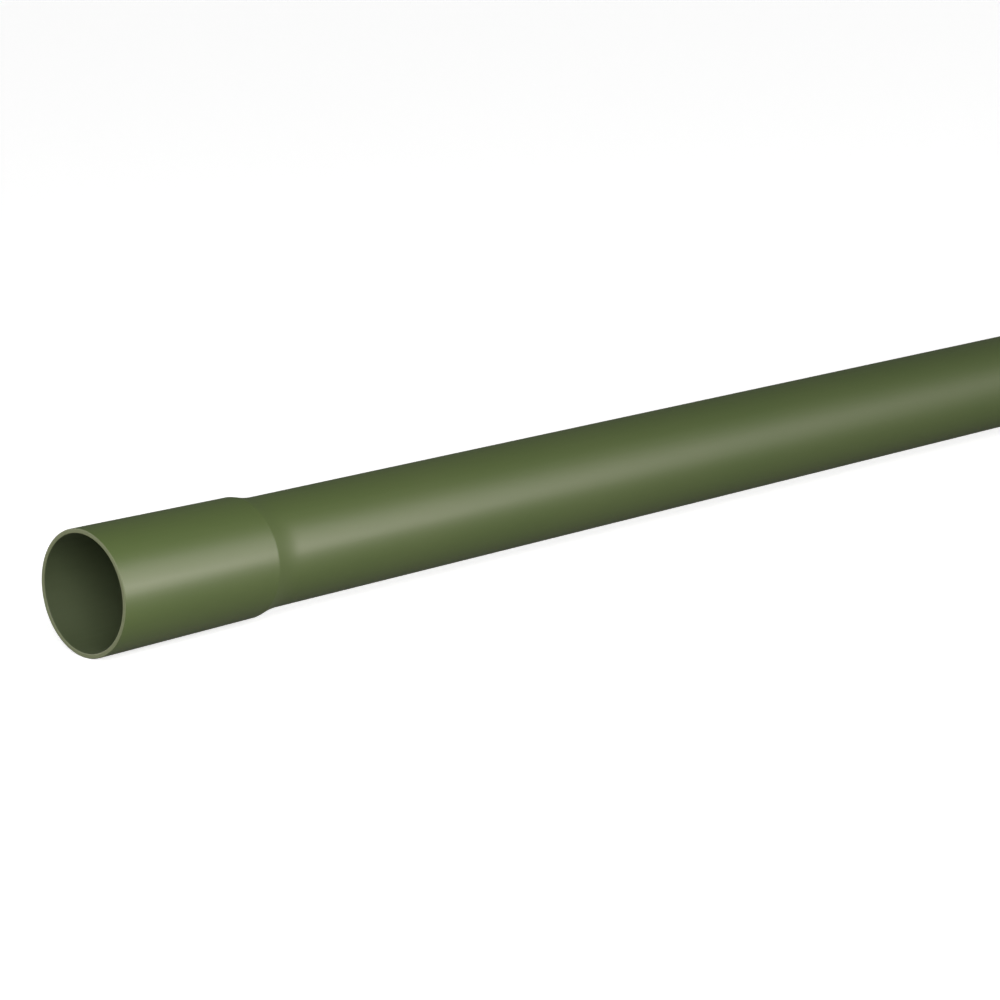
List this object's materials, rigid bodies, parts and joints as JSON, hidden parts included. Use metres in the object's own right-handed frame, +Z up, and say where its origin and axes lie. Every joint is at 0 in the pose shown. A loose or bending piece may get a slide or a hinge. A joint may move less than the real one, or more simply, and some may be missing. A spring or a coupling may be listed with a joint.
{
  "type": "pvc conduit pipe",
  "caption": "Length of rigid thin-wall plastic conduit: a straight round tube with a belled socket on one end and a square-cut plain end on the other.",
  "frame": {"origin": "on the tube's axis at the socket's seat, where the straight bore ends and the shoulder begins; a tube pushed home ends there", "axes": "+X along the axis from the socket towards the plain end, +Z up, +Y to the left when looking along +X; the tube lies level, as on a floor"},
  "size_m": [3, 0.0372, 0.0374],
  "materials": {
    "pvc": "satin"
  },
  "bodies": {
    "root": {"conduit": "pvc"}
  },
  "joints": []
}
